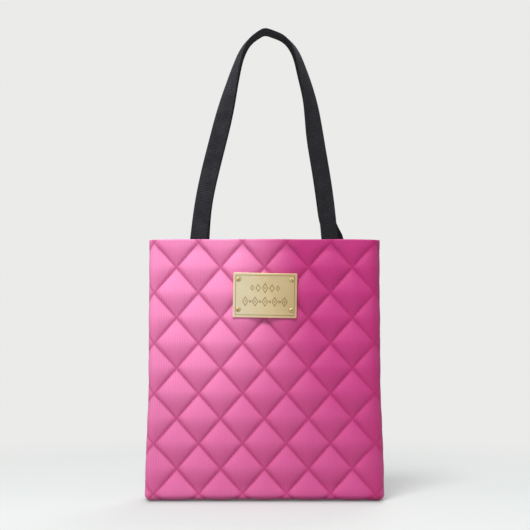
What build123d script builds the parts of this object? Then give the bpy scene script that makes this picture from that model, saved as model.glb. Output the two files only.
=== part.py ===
from build123d import *
from functools import cache
import math
import os

# A quilted tote bag: a padded, lined body with a boxed foot, two webbing handles sewn inside the mouth, and a
# brass name plate screwed through the front. Millimetres. The origin is the centre of the foot, on the surface
# that the bag stands on. +Z is up and the front faces -Y.

# ---- Bag body ----
BAG_HEIGHT = 403.0
BASE_WIDTH, MOUTH_WIDTH = 370.0, 356.0
BASE_DEPTH, MOUTH_DEPTH = 60.0, 68.0
BASE_CORNER, MOUTH_CORNER = 13.0, 15.0  # radius of the body's upright corners
FLARE_LOW, FLARE_HIGH = 25.0, 200.0  # the foot's outline changes into the mouth's between these heights
FLARE_STEPS = 4
BASE_EDGE_RADIUS = 9.5
BASE_EDGE_STEPS = 3

# ---- Layers of the wall, each as its depth below the outer face ----
FABRIC_INSIDE = 1.2
WADDING_INSIDE = 7.0
LINING_INSIDE = 8.0
HEM_START = 383.0  # above this the hem's stitching presses the wall thinner
HEM_PRESS = 0.62
FACING_DEPTH = 38.0
FACING_FOLD = 1.2
BINDING_WIDTH, BINDING_THICKNESS = 10.0, 2.4
BOARD_SIZE = (316.0, 38.0, 2.0)
BOARD_CORNER = 6.0

# ---- Handles ----
WEBBING_WIDTH, WEBBING_THICKNESS = 25.4, 2.5
SEWN_LENGTH = 35.0
HINGE_HEIGHT = BAG_HEIGHT + 0.5
FOLD_GAP = 0.3
WEBBING_OFFSET = MOUTH_DEPTH / 2 - LINING_INSIDE * HEM_PRESS - WEBBING_THICKNESS / 2
CREST_HEIGHT = 725.5
CREST_OFFSET = 14.0  # each handle leans in to this distance from the middle plane
BACK_CREST_DROP = 1.5  # the back handle's crest hangs this much lower
HANDLE_STATIONS = 48
LOFT_SPLIT = 20  # a handle is lofted in two, up to and on from this station
TACK_LENGTH, TACK_WIDTH = 26.0, 19.0
THREAD = 1.0
THREAD_HEIGHT = 0.4

# Where each handle's left and right feet are sewn on. The back handle's right foot stands wider.
FRONT_FEET = (-101.5, 100.0)
BACK_FEET = (-99.0, 111.5)
BACK_BEND = (100.0, 428.0)  # where the back handle has come in line with the front one, as (x, z)

# The middle line of a handle from its left foot to its right foot, as (x, z). It is taller on the right
# shoulder than on the left one, and bent over its crest where it was hung.
HANDLE_LINE = (
    (-95.0, 454.0),
    (-84.0, 509.0),
    (-70.0, 565.0),
    (-56.5, 620.0),
    (-44.5, 667.0),
    (-36.0, 692.0),
    (-22.0, 713.0),
    (-8.0, 722.5),
    (-1.0, CREST_HEIGHT),
    (11.0, 723.5),
    (30.0, 716.0),
    (48.0, 695.0),
    (57.5, 668.5),
    (70.2, 621.0),
    (78.1, 565.0),
    (87.1, 509.0),
    (95.0, 454.0),
)

# How far the webbing's outer face has turned from the panel's direction, as (distance from the crest, degrees).
LEFT_TWIST = ((0.0, 94.0), (31.0, 84.0), (66.0, 70.5), (105.0, 50.0), (142.0, 24.0), (178.0, 0.0))
RIGHT_TWIST = ((0.0, 94.0), (30.0, 87.0), (58.0, 75.0), (96.0, 58.0), (134.0, 46.0), (172.0, 24.0), (205.0, 0.0))
BACK_TWIST = 0.915  # the back handle's share, which lays both crests in one plane

# ---- Name plate ----
PLATE_WIDTH, PLATE_HEIGHT, PLATE_THICKNESS = 98.0, 68.5, 2.2
PLATE_CORNER, PLATE_BEVEL = 1.5, 0.8
PLATE_CENTRE = (0.8, 316.5)  # (x, z)
PLATE_TILT = 1.1  # degrees, clockwise from the front
ENGRAVING_DEPTH = 0.5
BORDER_INSET, BORDER_LINE = 3.4, 1.0
ORNAMENT_LINE = 1.4
UPPER_ROW, LOWER_ROW = 11.0, -9.8  # heights of the engraving's two rows from the plate's middle
SCREW_INSET = 8.1  # from the plate's sides
SCREW_DROP, SCREW_RISE = 10.0, 12.0  # from its top and bottom edges
SCREW_RADIUS, CLEARANCE_RADIUS = 1.5, 1.75
HEAD_RADIUS, HEAD_HEIGHT = 3.9, 1.5
SLOT_WIDTH, SLOT_DEPTH = 1.2, 0.8
SLOT_ANGLES = (52.0, 118.0, 74.0, 31.0)  # degrees, where each screw came to rest
SCREW_REACH = 11.4  # how far a shank goes behind the plate's back face
WASHER_RADIUS, WASHER_THICKNESS = 4.5, 0.8
NUT_RADIUS, NUT_HEIGHT, NUT_ROOF = 3.2, 3.6, 0.8

FAR = 1000.0


def smooth(t):
    """0 below 0, 1 above 1, and an even S between."""
    t = min(max(t, 0.0), 1.0)
    return t * t * (3 - 2 * t)


def mix(a, b, t):
    return a + (b - a) * t


def footprint(z):
    """Width, depth and corner radius of the outer face at a height."""
    up = smooth((z - FLARE_LOW) / (FLARE_HIGH - FLARE_LOW))
    return (
        mix(BASE_WIDTH, MOUTH_WIDTH, up),
        mix(BASE_DEPTH, MOUTH_DEPTH, up),
        mix(BASE_CORNER, MOUTH_CORNER, up),
    )


def press(z):
    """How far the hem's stitching has pressed the wall, as a share of its full thickness."""
    return mix(1.0, HEM_PRESS, smooth((z - HEM_START) / (BAG_HEIGHT - HEM_START)))


def level(z, inset):
    """One level of the body as a face, drawn in by the inset."""
    width, depth, corner = footprint(z)
    return Pos(0, 0, z) * RectangleRounded(width - 2 * inset, depth - 2 * inset, corner - inset)


@cache
def body_core(depth, extra=0.0, over=0.0):
    """Everything inside the face that lies a depth, pressed by the hem, plus an extra below the outer face."""
    floor = depth + extra
    radius = max(BASE_EDGE_RADIUS - floor, 1.0)
    levels = []
    for i in range(BASE_EDGE_STEPS + 1):
        angle = math.pi / 2 * i / BASE_EDGE_STEPS
        levels.append(level(floor + radius * (1 - math.cos(angle)), floor + radius * (1 - math.sin(angle))))
    for i in range(FLARE_STEPS + 1):
        levels.append(level(mix(FLARE_LOW, FLARE_HIGH, i / FLARE_STEPS), floor))
    for z in (HEM_START, BAG_HEIGHT):
        levels.append(level(z, depth * press(z) + extra))
    if over:
        levels.append(level(BAG_HEIGHT + over, depth * HEM_PRESS + extra))
    return loft(levels, ruled=True)


def shell(outside, inside, outside_extra=0.0, inside_extra=0.0):
    """The layer between two depths."""
    return body_core(outside, outside_extra) - body_core(inside, inside_extra, over=1.0)


def space(x_low, x_high, y_low, y_high, z_low, z_high):
    """A box between limits."""
    size = (x_high - x_low, y_high - y_low, z_high - z_low)
    middle = ((x_low + x_high) / 2, (y_low + y_high) / 2, (z_low + z_high) / 2)
    return Pos(*middle) * Box(*size)


def half(side, z_low=-FAR, z_high=FAR):
    """The front (side -1) or back (side 1) half of space, between two heights."""
    return space(-FAR, FAR, min(0.0, side * FAR), max(0.0, side * FAR), z_low, z_high)


def one_solid(shape):
    """The largest solid of a boolean result."""
    return max(shape.solids(), key=lambda s: s.volume)


# ---- Name plate and its screws ----
PLATE_PLANE = Plane(
    origin=(PLATE_CENTRE[0], -MOUTH_DEPTH / 2, PLATE_CENTRE[1]),
    x_dir=(math.cos(math.radians(PLATE_TILT)), 0, -math.sin(math.radians(PLATE_TILT))),
    z_dir=(0, -1, 0),
)
SCREW_PLACES = [
    (side * (PLATE_WIDTH / 2 - SCREW_INSET), height)
    for height in (PLATE_HEIGHT / 2 - SCREW_DROP, SCREW_RISE - PLATE_HEIGHT / 2)
    for side in (-1, 1)
]


def at_plate(x, y, z=0.0):
    """A place on the plate: across, up, and out from its back face."""
    return PLATE_PLANE * Pos(x, y, z)


def screw_holes():
    """The clearance hole of each screw, as solids that reach through the wall and the plate."""
    reach = 2 * SCREW_REACH
    return [at_plate(x, y) * Cylinder(CLEARANCE_RADIUS, 2 * reach) for x, y in SCREW_PLACES]


def lozenge(width, height):
    corners = ((width / 2, 0), (0, height / 2), (-width / 2, 0), (0, -height / 2))
    return make_face(Polyline(*corners, close=True))


def hollow_lozenge(width, height):
    """The outline of a lozenge, with a line of even width."""
    share = 1 - ORNAMENT_LINE * math.hypot(2 / width, 2 / height)
    return lozenge(width, height) - lozenge(width * share, height * share)


def ornament():
    """The generic engraving: a row of lozenges that grows to its middle, above a wider even row."""
    upper = [Pos(0, 0) * lozenge(2.4, 5.0)]
    for x, width, height in ((0, 9.6, 17), (10.6, 8.2, 13.5), (19.6, 6.6, 10)):
        for side in (-1, 1) if x else (1,):
            upper.append(Pos(side * x, 0) * hollow_lozenge(width, height))
    lower = []
    for i in range(-2, 3):
        lower.append(Pos(15 * i, 0) * hollow_lozenge(9.8, 16))
        lower.append(Pos(15 * i, 0) * lozenge(2.4, 4.6))
    for i in (-1.5, -0.5, 0.5, 1.5):
        lower.append(Pos(15 * i, 0) * (Circle(2.1) - Circle(2.1 - ORNAMENT_LINE)))
    return [Pos(0, UPPER_ROW) * mark for mark in upper] + [Pos(0, LOWER_ROW) * mark for mark in lower]


def name_plate():
    """The brass plate: bevelled front edge, engraved border and ornament, four clearance holes."""
    blank = extrude(RectangleRounded(PLATE_WIDTH, PLATE_HEIGHT, PLATE_CORNER), PLATE_THICKNESS)
    blank = chamfer(blank.faces().sort_by(Axis.Z)[-1].edges(), PLATE_BEVEL)
    width, height = PLATE_WIDTH - 2 * BORDER_INSET, PLATE_HEIGHT - 2 * BORDER_INSET
    border = Rectangle(width, height) - Rectangle(width - 2 * BORDER_LINE, height - 2 * BORDER_LINE)
    engraving_floor = PLATE_THICKNESS - ENGRAVING_DEPTH
    for mark in [border, *ornament()]:
        blank -= extrude(Pos(0, 0, engraving_floor) * mark, 2 * ENGRAVING_DEPTH)
    plate = PLATE_PLANE * blank
    for hole in screw_holes():
        plate -= hole
    return one_solid(plate)


def screw(x, y, slot_angle):
    """A round-headed slotted screw with its shank through the wall."""
    sphere_radius = (HEAD_RADIUS**2 + HEAD_HEIGHT**2) / (2 * HEAD_HEIGHT)
    dome = Pos(0, 0, HEAD_HEIGHT - sphere_radius) * Sphere(sphere_radius)
    head = dome & Pos(0, 0, HEAD_HEIGHT / 2) * Cylinder(HEAD_RADIUS, HEAD_HEIGHT)
    slot = Box(3 * HEAD_RADIUS, SLOT_WIDTH, 2 * SLOT_DEPTH)
    head -= Pos(0, 0, HEAD_HEIGHT) * Rot(0, 0, slot_angle) * slot
    length = SCREW_REACH + PLATE_THICKNESS
    shank = Pos(0, 0, -length / 2) * Cylinder(SCREW_RADIUS, length)
    return one_solid(at_plate(x, y, PLATE_THICKNESS) * (head + shank))


def washer(x, y):
    """The washer that bears on the lining."""
    ring = Cylinder(WASHER_RADIUS, WASHER_THICKNESS) - Cylinder(CLEARANCE_RADIUS, 2 * WASHER_THICKNESS)
    return one_solid(at_plate(x, y, -LINING_INSIDE - WASHER_THICKNESS / 2) * ring)


def cap_nut(x, y):
    """A domed nut, closed over the end of the screw."""
    bearing = -LINING_INSIDE - WASHER_THICKNESS
    blank = Pos(0, 0, -NUT_HEIGHT / 2) * Cylinder(NUT_RADIUS, NUT_HEIGHT)
    blank = fillet(blank.edges().sort_by(Axis.Z)[0], 1.0)
    bore_depth = NUT_HEIGHT - NUT_ROOF
    bore = Pos(0, 0, -bore_depth / 2) * Cylinder(SCREW_RADIUS, bore_depth)
    return one_solid(at_plate(x, y, bearing) * (blank - bore))


# ---- Bag body pieces ----
def outer_panel(side):
    """The outer fabric of one half, from the bottom seam up to the mouth."""
    panel = shell(0.0, FABRIC_INSIDE) & half(side)
    if side < 0:
        for hole in screw_holes():
            panel -= hole
    return one_solid(panel)


def base_board():
    """The stiffener between the wadding and the lining of the foot."""
    width, depth, thickness = BOARD_SIZE
    board = extrude(RectangleRounded(width, depth, BOARD_CORNER), thickness)
    return one_solid(Pos(0, 0, WADDING_INSIDE - thickness) * board)


def wadding(side, board):
    """The padding of one half, with a recess for the board."""
    padding = shell(FABRIC_INSIDE, WADDING_INSIDE) & half(side, z_high=BAG_HEIGHT - FACING_FOLD)
    padding -= board
    if side < 0:
        for hole in screw_holes():
            padding -= hole
    return one_solid(padding)


def lining(side):
    """The lining of one half, up to the facing."""
    cloth = shell(WADDING_INSIDE, LINING_INSIDE) & half(side, z_high=BAG_HEIGHT - FACING_DEPTH)
    if side < 0:
        for hole in screw_holes():
            cloth -= hole
    return one_solid(cloth)


def facing(side):
    """The outer fabric turned in over the mouth, down to the lining."""
    band = shell(WADDING_INSIDE, LINING_INSIDE) & half(side, z_low=BAG_HEIGHT - FACING_DEPTH)
    fold = shell(FABRIC_INSIDE, WADDING_INSIDE) & half(side, z_low=BAG_HEIGHT - FACING_FOLD)
    return one_solid(band + fold)


def inner_strip(box):
    """A strip of binding that lies on the lining inside a box."""
    strip = body_core(LINING_INSIDE) - body_core(LINING_INSIDE, BINDING_THICKNESS, over=1.0)
    return one_solid(strip & box)


def side_binding(side):
    """The bound allowance of a side seam, pressed towards the back."""
    top = BAG_HEIGHT - FACING_DEPTH
    bottom = LINING_INSIDE + BINDING_THICKNESS + BINDING_WIDTH + 2.0
    reach = BASE_WIDTH
    return inner_strip(space(min(0, side * reach), max(0, side * reach), 0, BINDING_WIDTH, bottom, top))


def bottom_binding():
    """The bound allowance of the bottom seam, lying on the floor between the corner seams."""
    reach = BASE_WIDTH / 2 - LINING_INSIDE - 2 * BINDING_WIDTH
    return inner_strip(space(-reach, reach, 0, BINDING_WIDTH, 0, LINING_INSIDE + BINDING_THICKNESS))


def corner_binding(side):
    """The bound allowance of a boxed corner, running across the bag at the end of the floor."""
    end = BASE_WIDTH / 2 - LINING_INSIDE - 4.0
    start = end - BINDING_WIDTH
    reach = BASE_DEPTH / 2 - LINING_INSIDE - 5.0
    low, high = min(side * start, side * end), max(side * start, side * end)
    return inner_strip(space(low, high, -reach, reach, 0, LINING_INSIDE + BINDING_THICKNESS))


# ---- Handles ----
def foot_x(side, end):
    """Where a handle's left (end -1) or right (end 1) foot is sewn on."""
    feet = BACK_FEET if side > 0 else FRONT_FEET
    return feet[(end + 1) // 2]


def sewn_end(side, end):
    """A handle's end, sewn flat on the facing, up to the fold over the mouth."""
    x = foot_x(side, end)
    top, bottom = HINGE_HEIGHT, BAG_HEIGHT - SEWN_LENGTH
    outside = body_core(LINING_INSIDE, over=1.0)
    layer = outside - body_core(LINING_INSIDE, WEBBING_THICKNESS, over=2.0)
    width = WEBBING_WIDTH / 2
    low, high = min(0, side * FAR), max(0, side * FAR)
    return one_solid(layer & space(x - width, x + width, low, high, bottom, top))


def tack_stitches(side, end):
    """The thread of the box and cross that holds a handle's end, standing on the webbing."""
    x = foot_x(side, end)
    middle = BAG_HEIGHT - SEWN_LENGTH / 2
    box = Rectangle(TACK_WIDTH, TACK_LENGTH) - Rectangle(TACK_WIDTH - 2 * THREAD, TACK_LENGTH - 2 * THREAD)
    slope = math.degrees(math.atan2(TACK_LENGTH, TACK_WIDTH))
    diagonal = math.hypot(TACK_LENGTH, TACK_WIDTH) - 2 * THREAD
    for angle in (slope, -slope):
        box += Rot(0, 0, angle) * Rectangle(diagonal, THREAD)
    outline = extrude(Plane((x, 0, middle), x_dir=(1, 0, 0), z_dir=(0, side, 0)) * box, MOUTH_DEPTH / 2)
    on_webbing = body_core(LINING_INSIDE, WEBBING_THICKNESS, over=1.0)
    thread = on_webbing - body_core(LINING_INSIDE, WEBBING_THICKNESS + THREAD_HEIGHT, over=2.0)
    return one_solid(thread & outline)


def handle_route(side):
    """The middle line of a handle's free part as a spline, leaning in towards its crest."""
    points = []
    rise = CREST_HEIGHT - BAG_HEIGHT
    back = side > 0
    for x, z in [*HANDLE_LINE, BACK_BEND] if back else HANDLE_LINE:
        depth = mix(WEBBING_OFFSET, CREST_OFFSET, smooth((z - BAG_HEIGHT) / rise))
        drop = BACK_CREST_DROP * (z - BAG_HEIGHT) / rise if back else 0.0
        points.append((x, side * depth, z - drop))
    start_height = HINGE_HEIGHT + FOLD_GAP
    first = (foot_x(side, -1), side * WEBBING_OFFSET, start_height)
    last = (foot_x(side, 1), side * WEBBING_OFFSET, start_height)
    return Spline(first, *points, last)


def webbing_angle(side, past_crest):
    """How far the webbing has turned, in radians, by distance past the crest from the left."""
    twist = RIGHT_TWIST if past_crest > 0 else LEFT_TWIST
    share = BACK_TWIST if side > 0 else 1.0
    for (start, first), (end, last) in zip(twist, twist[1:]):
        if abs(past_crest) <= end:
            return math.radians(share * mix(first, last, (abs(past_crest) - start) / (end - start)))
    return 0.0


def handle(side):
    """A handle's free part: webbing that is flat at its feet and turns edge-on over the crest."""
    route = handle_route(side)
    length = route.length
    crest = max(
        (i / 200 * length for i in range(201)),
        key=lambda s: route.position_at(s, PositionMode.LENGTH).Z,
    )
    sections = []
    for i in range(HANDLE_STATIONS + 1):
        along = length * i / HANDLE_STATIONS
        place = route.position_at(along, PositionMode.LENGTH)
        tangent = route.tangent_at(along, PositionMode.LENGTH)
        if i in (0, HANDLE_STATIONS):
            tangent = Vector(0, 0, 1 if i == 0 else -1)
        outward = Vector(0, -1, 0).cross(tangent).normalized()
        panelward = outward.cross(tangent).normalized() * side
        angle = webbing_angle(side, along - crest)
        normal = panelward * math.cos(angle) + outward * math.sin(angle)
        across = normal.cross(tangent)
        plane = Plane(origin=place, x_dir=across, z_dir=tangent)
        sections.append(plane * Rectangle(WEBBING_WIDTH, WEBBING_THICKNESS))
    low = loft(sections[: LOFT_SPLIT + 1], ruled=True)
    high = loft(sections[LOFT_SPLIT:], ruled=True)
    return one_solid(low + high)


def main():
    os.makedirs("parts", exist_ok=True)
    board = base_board()
    nodes = {
        "base_board": board,
        "name_plate": name_plate(),
        "name_plate_screws": [screw(x, y, a) for (x, y), a in zip(SCREW_PLACES, SLOT_ANGLES)],
        "name_plate_washers": [washer(x, y) for x, y in SCREW_PLACES],
        "name_plate_nuts": [cap_nut(x, y) for x, y in SCREW_PLACES],
        "left_side_seam_binding": side_binding(-1),
        "right_side_seam_binding": side_binding(1),
        "bottom_seam_binding": bottom_binding(),
        "left_corner_seam_binding": corner_binding(-1),
        "right_corner_seam_binding": corner_binding(1),
    }
    for name, side in (("front", -1), ("back", 1)):
        nodes[f"{name}_outer_panel"] = outer_panel(side)
        nodes[f"{name}_wadding"] = wadding(side, board)
        nodes[f"{name}_lining"] = lining(side)
        nodes[f"{name}_mouth_facing"] = facing(side)
        nodes[f"{name}_handle"] = handle(side)
        nodes[f"{name}_handle_left_end"] = sewn_end(side, -1)
        nodes[f"{name}_handle_right_end"] = sewn_end(side, 1)
        nodes[f"{name}_handle_tack_stitches"] = [tack_stitches(side, end) for end in (-1, 1)]
    for name, shape in nodes.items():
        group = Compound(children=shape) if isinstance(shape, list) else shape
        export_step(group, f"parts/{name}.step")


main()
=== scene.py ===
import math

import bpy
import numpy as np
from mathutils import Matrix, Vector


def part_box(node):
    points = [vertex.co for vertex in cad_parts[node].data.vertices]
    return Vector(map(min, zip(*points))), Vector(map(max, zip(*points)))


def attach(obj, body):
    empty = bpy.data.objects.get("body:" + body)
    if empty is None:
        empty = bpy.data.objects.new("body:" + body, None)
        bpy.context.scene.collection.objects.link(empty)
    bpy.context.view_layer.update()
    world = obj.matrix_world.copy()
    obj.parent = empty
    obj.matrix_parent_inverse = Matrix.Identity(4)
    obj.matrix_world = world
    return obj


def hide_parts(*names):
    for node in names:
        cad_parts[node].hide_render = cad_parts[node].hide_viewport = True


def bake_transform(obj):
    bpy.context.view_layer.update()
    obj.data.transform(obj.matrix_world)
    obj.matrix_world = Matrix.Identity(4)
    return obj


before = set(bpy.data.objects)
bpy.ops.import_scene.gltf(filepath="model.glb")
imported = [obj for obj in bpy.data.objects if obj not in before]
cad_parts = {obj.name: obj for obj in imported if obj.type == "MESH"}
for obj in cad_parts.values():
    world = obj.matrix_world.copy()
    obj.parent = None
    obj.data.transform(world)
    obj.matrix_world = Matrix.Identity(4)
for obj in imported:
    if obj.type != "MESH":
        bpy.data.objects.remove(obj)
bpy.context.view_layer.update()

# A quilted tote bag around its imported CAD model. Lengths are millimetres until MM turns them into metres.
# The origin is the centre of the foot, +Z is up and the front faces -Y.
MM = 0.001

# ---- The body, with the dimensions of its CAD model ----
BAG_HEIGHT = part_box("front_outer_panel")[1].z / MM
BASE_WIDTH, MOUTH_WIDTH = 370.0, 356.0
BASE_DEPTH, MOUTH_DEPTH = 60.0, 68.0
BASE_CORNER, MOUTH_CORNER = 13.0, 15.0
FLARE_LOW, FLARE_HIGH = 25.0, 200.0
BASE_EDGE_RADIUS = 9.5
FOOT_LIFT = 0.9  # of the foot's long edges between the corners
MOUTH_DROP, MOUTH_WAVE = 2.6, 0.25  # how far the mouth's edge drops at the side seams and between them
BELLY, BELLY_HEIGHT, BELLY_REACH = 1.6, 120.0, 90.0
WADDING_INSIDE, LINING_INSIDE = 7.0, 8.0
HEM_START, HEM_PRESS = 383.0, 0.62
FACING_DEPTH = 38.0
SIDES = (("front", -1), ("back", 1))

# ---- Quilting: a diamond lattice of stitched lines ----
PITCHES = 3  # diamonds from the middle of a panel to its side seam
PITCH = 67.56  # a diamond's width
ROW_HEIGHT = 38.7  # half a diamond's height
FIRST_ROW = 397.5
CELL = 24  # mesh divisions to half a diamond
LINE_SPACING = 50.9  # between neighbouring parallel lines
PUFF_DEPTH = 5.7
DEEPEST = WADDING_INSIDE - 0.35  # the stitches never reach the panel's inner face
PUFF_POWER = 2.6
PUCKER_DEPTH, PUCKER_REACH = 0.16, 4.5
EVEN_LATTICE = 2.2  # diamonds from the middle up to where the lattice is even
SEAM_GROOVE, SEAM_GROOVE_REACH = 3.2, 3.4
ROLL_STEPS, EDGE_STEPS, UNDER_STEPS = 8, 9, 13  # mesh rows over the mouth's edge, round the foot's and under
PAINTED_SHADE_ABOVE, PAINTED_SHADE_BELOW = 3.2, 0.9  # the painted shade by a seam reaches this far up and down from its stitches
HALF_EDGE = -0.05  # the front half ends this far in front of the middle plane

# ---- Cloth simulation of the puffs ----
SIM_CELL = 8  # cloth divisions to half a diamond
SIM_ROWS = 12  # rows of half diamonds
SIM_FRAMES = 20
SIM_PUSH = 70.0  # the filling's outward push, in metres per second squared
SIM_SLACK = 0.008  # how much larger the fabric is than the lattice it is sewn to
SIM_SHARE = 0.6  # of the final shape; the rest is an even pillow

# ---- Sewing ----
STITCH_RING = 6
# Stations along a stitch, as (along, size, rise) in shares of its half length and its radius.
STITCH_SHAPE = (
    (-1.0, 0.0, -0.9), (-0.82, 0.72, -0.45), (-0.3, 1.0, 0.1),
    (0.3, 1.0, 0.1), (0.82, 0.72, -0.45), (1.0, 0.0, -0.9),
)
# Each kind of stitch, as (length, radius), and how far apart they are.
QUILTING_STITCH, QUILTING_PITCH = (2.7, 0.24), 3.6
TACK_STITCH, TACK_PITCH = (2.5, 0.42), 2.9
BINDING_STITCH, BINDING_PITCH = (2.7, 0.34), 3.4
FACING_STITCH, FACING_COUNT = (2.9, 0.34), 108
BINDING_WIDTH, BINDING_THICKNESS = 10.0, 2.4
BINDING_HEIGHT = LINING_INSIDE + 1.2  # of the middle of the tapes on the bag's floor
LINING_THICKNESS = 0.45
LINING_TURN = 11.0  # radius at which the lining turns in to the bag's floor
TACK_WIDTH, TACK_HEIGHT = 19.0, 26.0

# ---- Handles ----
WEBBING_WIDTH, WEBBING_THICKNESS = 25.4, 2.5
WEBBING_RIB, WEBBING_PICK = 2.1, 2.6
SEWN_LENGTH = 35.0
HINGE_HEIGHT = BAG_HEIGHT + 0.5
FOLD_GAP = 0.3
WEBBING_OFFSET = MOUTH_DEPTH / 2 - LINING_INSIDE * HEM_PRESS - WEBBING_THICKNESS / 2
CREST_HEIGHT, CREST_OFFSET = 725.5, 14.0
FRONT_FEET, BACK_FEET = (-101.5, 100.0), (-99.0, 111.5)
BACK_BEND = (100.0, 428.0)
BACK_CREST_DROP = 1.5
HANDLE_LINE = (
    (-95.0, 454.0), (-84.0, 509.0), (-70.0, 565.0), (-56.5, 620.0), (-44.5, 667.0), (-36.0, 692.0),
    (-22.0, 713.0), (-8.0, 722.5), (-1.0, CREST_HEIGHT), (11.0, 723.5), (30.0, 716.0), (48.0, 695.0),
    (57.5, 668.5), (70.2, 621.0), (78.1, 565.0), (87.1, 509.0), (95.0, 454.0),
)
# How far the webbing's face has turned, as (distance from the crest, degrees).
LEFT_TWIST = ((0, 94), (31, 84), (66, 70.5), (105, 50), (142, 24), (178, 0))
RIGHT_TWIST = ((0, 94), (30, 87), (58, 75), (96, 58), (134, 46), (172, 24), (205, 0))
BACK_TWIST = 0.915

# ---- Name plate ----
PLATE_SIZE = (98.0, 68.5)
PLATE_CENTRE = (0.8, 316.5)
PLATE_TILT = 1.1
SCREW_OUT, SCREW_UP, SCREW_SHIFT = 40.9, 23.25, 1.0  # screws from the plate's middle, and how far up they sit
HEAD_RADIUS = 3.9


def srgb(r, g, b):
    """A display colour from 0 to 255 as linear light, with alpha."""
    shares = (c / 255 for c in (r, g, b))
    return *(c / 12.92 if c <= 0.04045 else ((c + 0.055) / 1.055) ** 2.4 for c in shares), 1.0


def smooth(t):
    t = np.clip(t, 0.0, 1.0)
    return t * t * (3 - 2 * t)


def mix(a, b, t):
    return a + (b - a) * t


def xyz(x, y, z):
    """Points from coordinates, any of which may be one number for all."""
    return np.stack(np.broadcast_arrays(x, y, z), -1)


def unit(v):
    return v / np.linalg.norm(v, axis=-1, keepdims=True)


def run_of(points):
    """Distance along a line of points."""
    return np.concatenate([[0], np.cumsum(np.linalg.norm(np.diff(points, axis=0), axis=1))])


def at_distance(distance, run, points):
    """Places at given distances along a line of points."""
    return np.stack([np.interp(distance, run, points[:, k]) for k in range(3)], -1)


# ---- Meshes ----


def mesh_object(name, verts, faces, material, attributes=None):
    """A mesh object from points in millimetres and a list of arrays of faces, each of one size."""
    verts = np.asarray(verts, float).reshape(-1, 3) * MM
    groups = [np.asarray(f, np.int32) for f in faces]
    loops = np.concatenate([g.ravel() for g in groups])
    sizes = np.concatenate([np.full(len(g), g.shape[1], np.int32) for g in groups])
    mesh = bpy.data.meshes.new(name)
    mesh.vertices.add(len(verts))
    mesh.vertices.foreach_set("co", verts.astype(np.float32).ravel())
    mesh.loops.add(len(loops))
    mesh.loops.foreach_set("vertex_index", loops)
    mesh.polygons.add(len(sizes))
    mesh.polygons.foreach_set("loop_start", (np.cumsum(sizes) - sizes).astype(np.int32))
    mesh.update(calc_edges=True)
    mesh.polygons.foreach_set("use_smooth", np.full(len(sizes), True))
    for key, values in (attributes or {}).items():
        values = np.asarray(values, np.float32)
        vector = values.ndim == 2
        data = mesh.attributes.new(key, "FLOAT_VECTOR" if vector else "FLOAT", "POINT")
        data.data.foreach_set("vector" if vector else "value", values.ravel())
    mesh.validate()
    mesh.materials.append(material)
    obj = bpy.data.objects.new(name, mesh)
    bpy.context.scene.collection.objects.link(obj)
    return obj


def grid_faces(rows, columns, wrap=False, start=0):
    """Quads of a grid of points, facing outwards where rows go down and columns go right."""
    r, c = np.meshgrid(np.arange(rows - 1), np.arange(columns if wrap else columns - 1), indexing="ij")
    r, c = r.ravel() * columns, c.ravel()
    right = (c + 1) % columns
    return np.stack([r + c, r + columns + c, r + columns + right, r + right], 1) + start


def zip_faces(first, second):
    """Triangles that join two rows of point numbers which run the same way."""
    faces = []
    i = j = 0
    first_last, second_last = len(first) - 1, len(second) - 1
    while i < first_last or j < second_last:
        next_first = (i + 1) / first_last if i < first_last else 2.0
        next_second = (j + 1) / second_last if j < second_last else 2.0
        if next_first <= next_second:
            faces.append((first[i], first[i + 1], second[j]))
            i += 1
        else:
            faces.append((first[i], second[j + 1], second[j]))
            j += 1
    return faces


# ---- The body's surface ----


def footprint(z):
    """Half the width, half the depth and the corner radius of the outer face at a height."""
    up = smooth((z - FLARE_LOW) / (FLARE_HIGH - FLARE_LOW))
    return (
        mix(BASE_WIDTH, MOUTH_WIDTH, up) / 2,
        mix(BASE_DEPTH, MOUTH_DEPTH, up) / 2,
        mix(BASE_CORNER, MOUTH_CORNER, up),
    )


def press(z):
    return mix(1.0, HEM_PRESS, smooth((z - HEM_START) / (BAG_HEIGHT - HEM_START)))


def quarter_length(z):
    """Distance round the outer face from the middle of a panel to its side seam."""
    width, depth, corner = footprint(z)
    return width + depth - (2 - math.pi / 2) * corner


def outline(q, z, inset):
    """Places on the front half of the body's outline, q diamonds from its middle, and the way they face."""
    width, depth, corner = footprint(z)
    width, depth, corner = width - inset, depth - inset, np.maximum(corner - inset, 1.0)
    flat, side = width - corner, depth - corner
    whole = flat + side + corner * math.pi / 2
    # The lattice is even over the panel's middle, and only the last half diamond takes up what is left.
    rest = smooth((np.abs(q) - EVEN_LATTICE) / (PITCHES - EVEN_LATTICE))
    along = np.abs(q) * PITCH + (whole - PITCHES * PITCH) * rest
    angle = np.clip((along - flat) / corner, 0, math.pi / 2)
    x = np.minimum(along, flat) + corner * np.sin(angle)
    y = -(side + corner * np.cos(angle)) + np.clip(along - flat - corner * math.pi / 2, 0, None)
    sign = np.sign(q)
    return sign * x, y, sign * np.sin(angle), -np.cos(angle)


def lattice(q, p):
    """Two coordinates, whole numbers on the quilting's lines, from diamonds across and rows down."""
    return q + p / 2 - 0.5, q - p / 2 - 0.5


def puff_height(a, b):
    """1 in the middle of a puff, 0 on its stitches."""
    ta, tb = (np.abs(2 * (v - np.floor(v)) - 1) for v in (a, b))
    return (1 - ta**PUFF_POWER) * (1 - tb**PUFF_POWER)


def painted_puff_shading(a, b):
    """How much painted shade or painted highlight a place gets: 1 on the stitches, a painted shade fading up
    the puff above them and quickly down the puff below, and otherwise from a little below 0 at the top of
    each puff, a painted highlight, to a little above it at the bottom, a painted shade."""
    past_a, past_b = a - np.floor(a), b - np.floor(b)
    above = np.exp(-np.minimum(1 - past_a, past_b) * LINE_SPACING / PAINTED_SHADE_ABOVE)
    below = np.exp(-np.minimum(past_a, 1 - past_b) * LINE_SPACING / PAINTED_SHADE_BELOW)
    return np.maximum(np.maximum(above, below), 0.5 * (smooth((past_a + 1 - past_b) / 2) - 0.4))


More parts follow.
